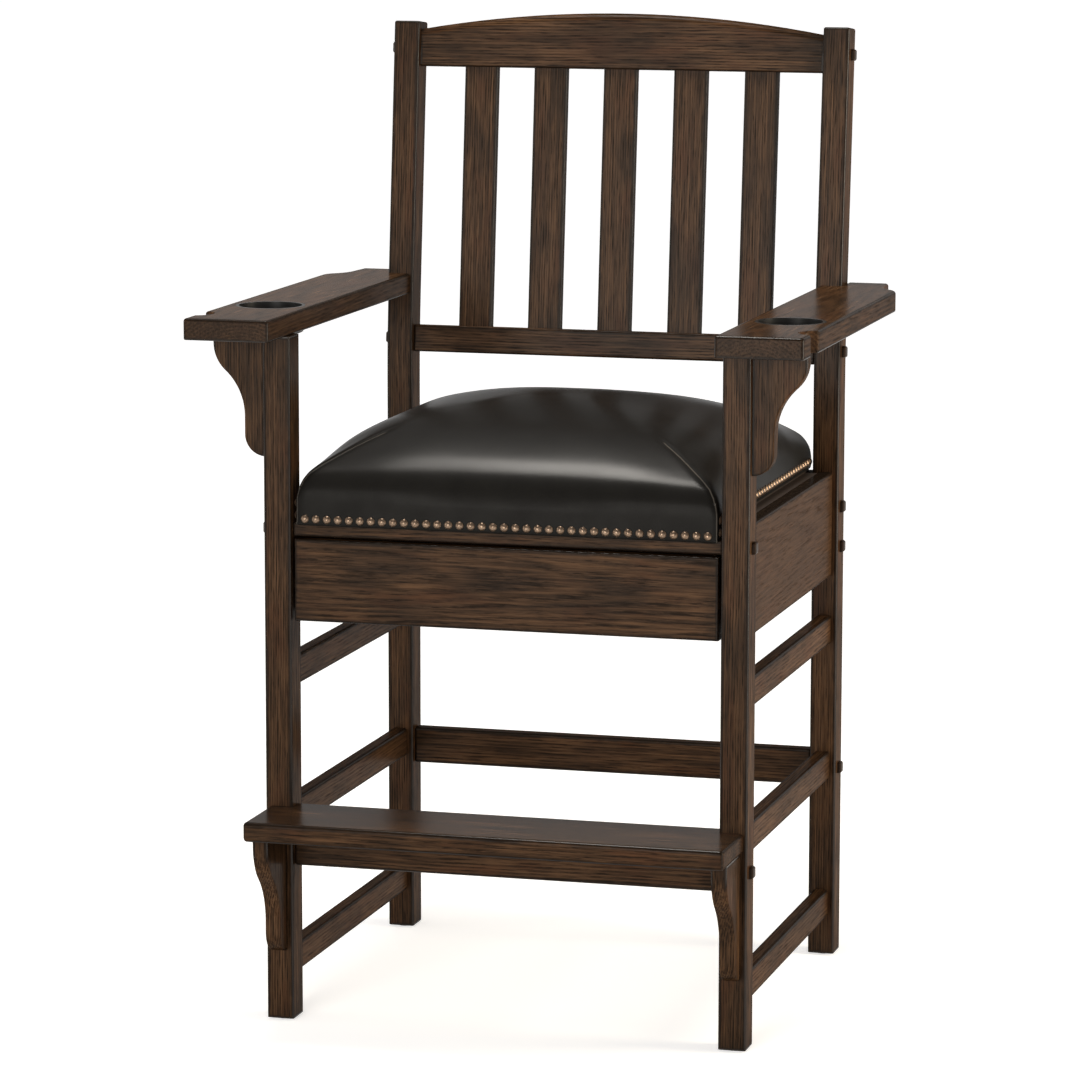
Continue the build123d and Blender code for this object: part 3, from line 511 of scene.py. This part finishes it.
# Bolt caps: small square oak plugs over the bolt heads, on the outer faces of the legs and the posts,
# stained as dark as the glaze.
def speckled(name, cells, tones, roughness, relief, others=None):
    """A plain finish with a fine speckle. roughness is its least and what the speckle adds, and relief is
    the speckle's depth and strength."""
    made = Finish(name)
    x, y, z = made.place()
    speckle = made.mottle(made.join(x, y, z), cells)
    sockets = {"Base Color": made.mix(speckle, *tones), "Roughness": speckle * roughness[1] + roughness[0]}
    sockets.update(others or {})
    return made.skin(sockets, speckle, *relief)


cap_tones = (oak_dark, (0.035, 0.018, 0.01))
dull = {"Specular IOR Level": 0.1}
wear(nodes["bolt_caps"], speckled("stained_caps", 300.0, cap_tones, (0.4, 0.1), (0.0002, 0.3), dull))

# Cup liners: black moulded plastic, satin, each dropped loose into the round hole in its arm, where its
# flange rests on the wood.
liner_tones = ((0.010, 0.010, 0.010), (0.02, 0.02, 0.02))
liner_skin = speckled("liner_plastic", 1800.0, liner_tones, (0.28, 0.1), (0.0001, 0.2))
for side in both:
    wear(nodes["cup_liner_" + side], liner_skin)

# Floor glides: round black plastic buttons, scuffed by the floor, nailed under the legs and posts.
glide_tones = ((0.02, 0.02, 0.02), (0.05, 0.05, 0.05))
wear(nodes["floor_glides"], speckled("glide_plastic", 400.0, glide_tones, (0.5, 0.2), (0.0002, 0.3)))

# Bolts, barrel nuts and screws: zinc plated steel, with the plating's faint spangle. Only the screws show,
# and only with the drawer out or from below.
steel_tones = ((0.45, 0.45, 0.44), (0.62, 0.62, 0.6))
metal = {"Metallic": 1.0}
steel = speckled("zinc_plated_steel", 500.0, steel_tones, (0.3, 0.15), (0.0001, 0.2), metal)
for node in ("frame_bolts", "barrel_nuts", "screws"):
    wear(nodes[node], steel)

# Seat nails: domed brass nails in a close row through the leather's edge, antiqued brown, some darker than
# others, with their domes rubbed bright.
patina_tones = ((0.12, 0.080, 0.052), (0.36, 0.255, 0.18))
dull_brass = (0.17, 0.115, 0.078)
nail_cells = 90.0
patina_cells = 900.0
brass = Finish("antique_brass")
x, y, z = brass.place()
spot = brass.join(x, y, z)
each = brass.mottle(spot, nail_cells, 1.0)
patina = brass.mottle(spot, patina_cells, 3.0)
nail_colour = brass.mix(patina.rise(0.35, 0.65), *patina_tones)
nail_colour = brass.mix(each.rise(0.4, 0.6) * 0.4, nail_colour, dull_brass)
nail_sockets = {"Base Color": nail_colour, "Metallic": 0.75, "Roughness": 0.22 + patina * 0.15}
wear(nodes["seat_nails"], brass.skin(nail_sockets, patina, 0.0001, 0.3))

# Seat: a foam block glued to the board and crowned by hand, under black leather sewn with mitred seams
# that run in from the front and rear corners, pulled tight and nailed round the edge of the frame. The
# solid is copied, filled and remeshed, so that the leather is one closed skin.
cover_low, cover_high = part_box("seat_cushion")
board_low, board_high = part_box("seat_board")
hem_thickness = 0.004
skirt_top = 0.671
voxel = 0.0054
blocks = (
    (hem_thickness / 2, cover_low.z, skirt_top),
    (hem_thickness * 1.5, skirt_top - voxel, board_high.z + hem_thickness),
)
bpy.ops.object.select_all(action="DESELECT")
crown = bpy.data.objects.new("seat_leather", nodes["seat_cushion"].data.copy())
bpy.context.scene.collection.objects.link(crown)
for inset, bottom, top in blocks:
    size = (cover_high.x - cover_low.x - 2 * inset, cover_high.y - cover_low.y - 2 * inset, top - bottom)
    middle = ((cover_low.x + cover_high.x) / 2, (cover_low.y + cover_high.y) / 2, (bottom + top) / 2)
    bpy.ops.mesh.primitive_cube_add(size=1, location=middle, scale=size)
    bpy.ops.object.transform_apply(location=True, rotation=True, scale=True)
    crown.select_set(True)
    bpy.context.view_layer.objects.active = crown
    bpy.ops.object.join()
seat = bpy.context.object
seat.name = "seat_leather"
seat.data.materials.clear()
seat.data.remesh_voxel_size = voxel
bpy.ops.object.voxel_remesh()

# The foam fills the slopes out between the corners, and is eased where the seams have ended.
nailed_edge = 0.034
pin_height = cover_low.z + nailed_edge
side_fullness = 0.017
end_fullness = 0.006
full_at = 0.034
full_end = 0.19
corner_run = 0.12
corner_slant = 0.7
swell_curve = 0.7
easing_from = 0.06
easing_run = 0.04
half = 0.5


def eased(share):
    """A share from 0 to 1 that starts and ends gently."""
    share = max(0.0, min(1.0, share))
    return share * share * (3 - 2 * share)


def insets(spot):
    """How far a point of the seat lies in from the nearer side and from the nearer end."""
    from_side = (cover_high.x - cover_low.x) / 2 - abs(spot.x)
    from_end = min(spot.y - cover_low.y, cover_high.y - spot.y)
    return from_side, from_end


def fullness(near, far):
    """How far the foam fills out a slope, near its own edge and away from the two corners, 0 to 1."""
    rise = max(0.0, min(1.0, near / full_at)) ** swell_curve
    fall = (full_end - near) / (full_end - full_at)
    return rise * eased(fall) * eased((far - near * corner_slant) / corner_run)


def smooth_over(name, passes, group, all_but=False):
    """Smooths the seat where a group of its points holds, or everywhere else."""
    smooth = seat.modifiers.new(name, "SMOOTH")
    smooth.factor = half
    smooth.iterations = passes
    smooth.vertex_group = group
    smooth.invert_vertex_group = all_but
    bpy.ops.object.modifier_apply(modifier=name)


rounded = seat.vertex_groups.new(name="rounded")
for vertex in seat.data.vertices:
    spot = vertex.co
    if spot.z > pin_height:
        from_side, from_end = insets(spot)
        spot.z += side_fullness * fullness(from_side, from_end)
        spot.z += end_fullness * fullness(from_end, from_side)
        past_seam = ((from_side + from_end) / 2 - easing_from) / easing_run
        if past_seam > 0:
            rounded.add([vertex.index], min(1.0, past_seam), "REPLACE")
smooth_over("ease", 90, "rounded")
seat.data.update()

# The leather is pinned underneath and where it is nailed. The foam swells it from a slightly lower crown,
# by a cloth simulation whose swell is held back and spread evenly over the neighbouring leather.
foam_slack = 0.0016
settle_height = 0.05
held_height = 0.008
swell_limit = 0.0022
spread_passes = 60
settle_frames = 20
pinned = seat.vertex_groups.new(name="nailed")
outward = [vertex.normal.copy() for vertex in seat.data.vertices]
for vertex, facing in zip(seat.data.vertices, outward):
    vertex.co -= facing * (foam_slack * eased((vertex.co.z - pin_height) / settle_height))
    held = 1 - min(1.0, max(0.0, vertex.co.z - pin_height) / held_height)
    if held > 0:
        pinned.add([vertex.index], held, "REPLACE")
before = [vertex.co.copy() for vertex in seat.data.vertices]
outward = [vertex.normal.copy() for vertex in seat.data.vertices]
cloth = seat.modifiers.new("foam", "CLOTH")
cloth.settings.quality = 5
cloth.settings.mass = 0.3
cloth.settings.tension_stiffness = 16
cloth.settings.compression_stiffness = 10
cloth.settings.shear_stiffness = 6
cloth.settings.bending_stiffness = 1.5
cloth.settings.use_pressure = True
cloth.settings.uniform_pressure_force = 4
cloth.settings.vertex_group_mass = "nailed"
cloth.settings.effector_weights.gravity = 0
cloth.collision_settings.use_collision = False
cloth.point_cache.frame_end = settle_frames
for step in range(settle_frames):
    bpy.context.scene.frame_set(step + 1)
bpy.ops.object.modifier_apply(modifier="foam")
bpy.context.scene.frame_set(1)
swell = []
for vertex, start, facing in zip(seat.data.vertices, before, outward):
    swell.append(max(0.0, min(swell_limit, (vertex.co - start).dot(facing))))
joined = [tuple(edge.vertices) for edge in seat.data.edges]
share = [1] * len(swell)
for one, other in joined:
    share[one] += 1
    share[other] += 1
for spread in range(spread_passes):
    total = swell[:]
    for one, other in joined:
        total[one] += swell[other]
        total[other] += swell[one]
    swell = [total[i] / share[i] for i in range(len(swell))]
for vertex, start, facing, rise in zip(seat.data.vertices, before, outward, swell):
    vertex.co = start + facing * (rise * eased((start.z - pin_height) / settle_height))
smooth_over("settle", 16, "nailed", all_but=True)
for vertex in seat.data.vertices:
    spot = vertex.co
    spot.x = max(cover_low.x, min(cover_high.x, spot.x))
    spot.y = max(cover_low.y, min(cover_high.y, spot.y))
    spot.z = min(cover_high.z, spot.z)
finer = seat.modifiers.new("finer", "SUBSURF")
finer.levels = finer.render_levels = 1
bpy.ops.object.modifier_apply(modifier="finer")

# The mitred seams are drawn in from the four corners, and fade out on the crown.
seam_reach = 0.092
seam_width = 0.004
seam_depth = 0.0016
seam_end = seam_reach * 1.15
seam_fade = 0.02
seam_foot = 0.03
outward = [vertex.normal.copy() for vertex in seat.data.vertices]
for vertex, facing in zip(seat.data.vertices, outward):
    spot = vertex.co
    from_side, from_end = insets(spot)
    off = (from_side - from_end) / math.sqrt(2)
    along = (from_side + from_end) / 2
    if abs(off) < 4 * seam_width and along < seam_end and spot.z > pin_height - seam_foot:
        fade = max(0.0, min(1.0, (seam_end - along) / seam_fade))
        spot -= facing * (seam_depth * fade * math.exp(-((off / seam_width) ** 2)))


# The skirt is trimmed to its hems, turned in by the leather's thickness and closed over the board.
def split_level(place, facing):
    """Cuts an edge line round the seat where a plane passes."""
    bpy.ops.mesh.select_all(action="SELECT")
    bpy.ops.mesh.bisect(plane_co=place, plane_no=facing)


def turn_under():
    """Draws the chosen edge of the leather out into a new strip, which the next lines put in its place."""
    bpy.ops.object.mode_set(mode="EDIT")
    bpy.ops.mesh.extrude_edges_move()
    bpy.ops.object.mode_set(mode="OBJECT")
    return [vertex.co for vertex in seat.data.vertices if vertex.select]


side_hem = cover_low.z + 0.0205
corner_hem = cover_low.z + 0.0038
lowest_hem = cover_low.z + 0.0006
corner_end = cover_low.y + 0.02
front_end = cover_low.y + 1.5 * hem_thickness
board_gap = 0.0003
weld = 0.00005
bpy.ops.object.select_all(action="DESELECT")
seat.select_set(True)
bpy.context.view_layer.objects.active = seat
bpy.ops.object.mode_set(mode="EDIT")
for hem in (side_hem, corner_hem, lowest_hem):
    split_level((0, 0, hem), (0, 0, 1))
for end in (corner_end, front_end):
    split_level((0, end, 0), (0, 1, 0))
bpy.ops.mesh.select_all(action="DESELECT")
bpy.ops.object.mode_set(mode="OBJECT")
for face in seat.data.polygons:
    middle = face.center
    behind = middle.y > corner_end and middle.z < side_hem
    corner = middle.y > front_end and middle.z < corner_hem
    face.select = behind or corner or middle.z < lowest_hem
bpy.ops.object.mode_set(mode="EDIT")
bpy.ops.mesh.delete(type="FACE")
bpy.ops.mesh.select_mode(type="EDGE")
bpy.ops.mesh.select_all(action="DESELECT")
bpy.ops.mesh.select_non_manifold()
for spot in turn_under():
    spot.x = max(cover_low.x + hem_thickness, min(cover_high.x - hem_thickness, spot.x))
    spot.y = max(cover_low.y + hem_thickness, min(cover_high.y - hem_thickness, spot.y))
for spot in turn_under():
    spot.z = board_high.z + board_gap
bpy.ops.object.mode_set(mode="EDIT")
bpy.ops.mesh.remove_doubles(threshold=weld)
bpy.ops.mesh.edge_face_add()
bpy.ops.mesh.select_all(action="SELECT")
bpy.ops.mesh.normals_make_consistent(inside=False)
bpy.ops.object.mode_set(mode="OBJECT")
bpy.ops.object.shade_smooth_by_angle(angle=math.radians(50))

# The leather is black, finely pebbled and waxed, and duller on its walls than on its crown. A pale line
# is painted along each seam as a highlight on the seam's ridge.
hide_tones = ((0.0062, 0.0056, 0.0050), (0.013, 0.012, 0.0105))
rubbed_tone = (0.02, 0.018, 0.016)
seam_highlight_tone = (0.12, 0.108, 0.092)
shoulder_height = (0.68, 0.72)
hide = Finish("black_leather")
x, y, z = hide.place()
spot = hide.join(x, y, z)
pebbles = {"Vector": spot, "Scale": 620.0, "Smoothness": 0.6}
pebble = hide.node("TexVoronoi", {"feature": "SMOOTH_F1"}, pebbles, "Distance")
fine = hide.mottle(spot, 1500.0, 3.0)
tired = hide.mottle(spot, 26.0, 4.0, 0.6)
from_side = (cover_high.x - cover_low.x) / 2 - x.size()
from_end = (y - cover_low.y).least(cover_high.y - y)
off_seam = ((from_side - from_end) / math.sqrt(2)).size()
run = ((from_side + from_end) / 2).rise(seam_reach + 0.001, seam_reach - 0.004)
# Painted highlight: a pale line where the seam's ridge would catch the light; the same mask also raises the
# ridge in the relief.
seam_ridge_and_highlight = off_seam.rise(0.0013, 0.0005) * run
lip = (off_seam - 0.0014).most(0.0014 - off_seam).rise(0.001, 0.0) * run
hide_colour = hide.mix(tired, *hide_tones)
hide_colour = hide.mix(fine.rise(0.5, 0.7) * 0.4, hide_colour, rubbed_tone)
hide_colour = hide.mix(seam_ridge_and_highlight * 0.8, hide_colour, seam_highlight_tone)
hide_sockets = {
    "Base Color": hide_colour,
    "Roughness": 0.5,
    "Specular IOR Level": 0.05,
    "Coat Weight": 0.06 + z.rise(*shoulder_height) * 0.38 + (tired - 0.5) * 0.08,
    "Coat Roughness": 0.26,
}
hide_relief = pebble * 0.3 + fine * 0.2 + seam_ridge_and_highlight * 0.5 + lip * 0.25
wear(seat, hide.skin(hide_sockets, hide_relief, 0.0003, 0.4))
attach(seat, "frame")
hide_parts("seat_cushion")
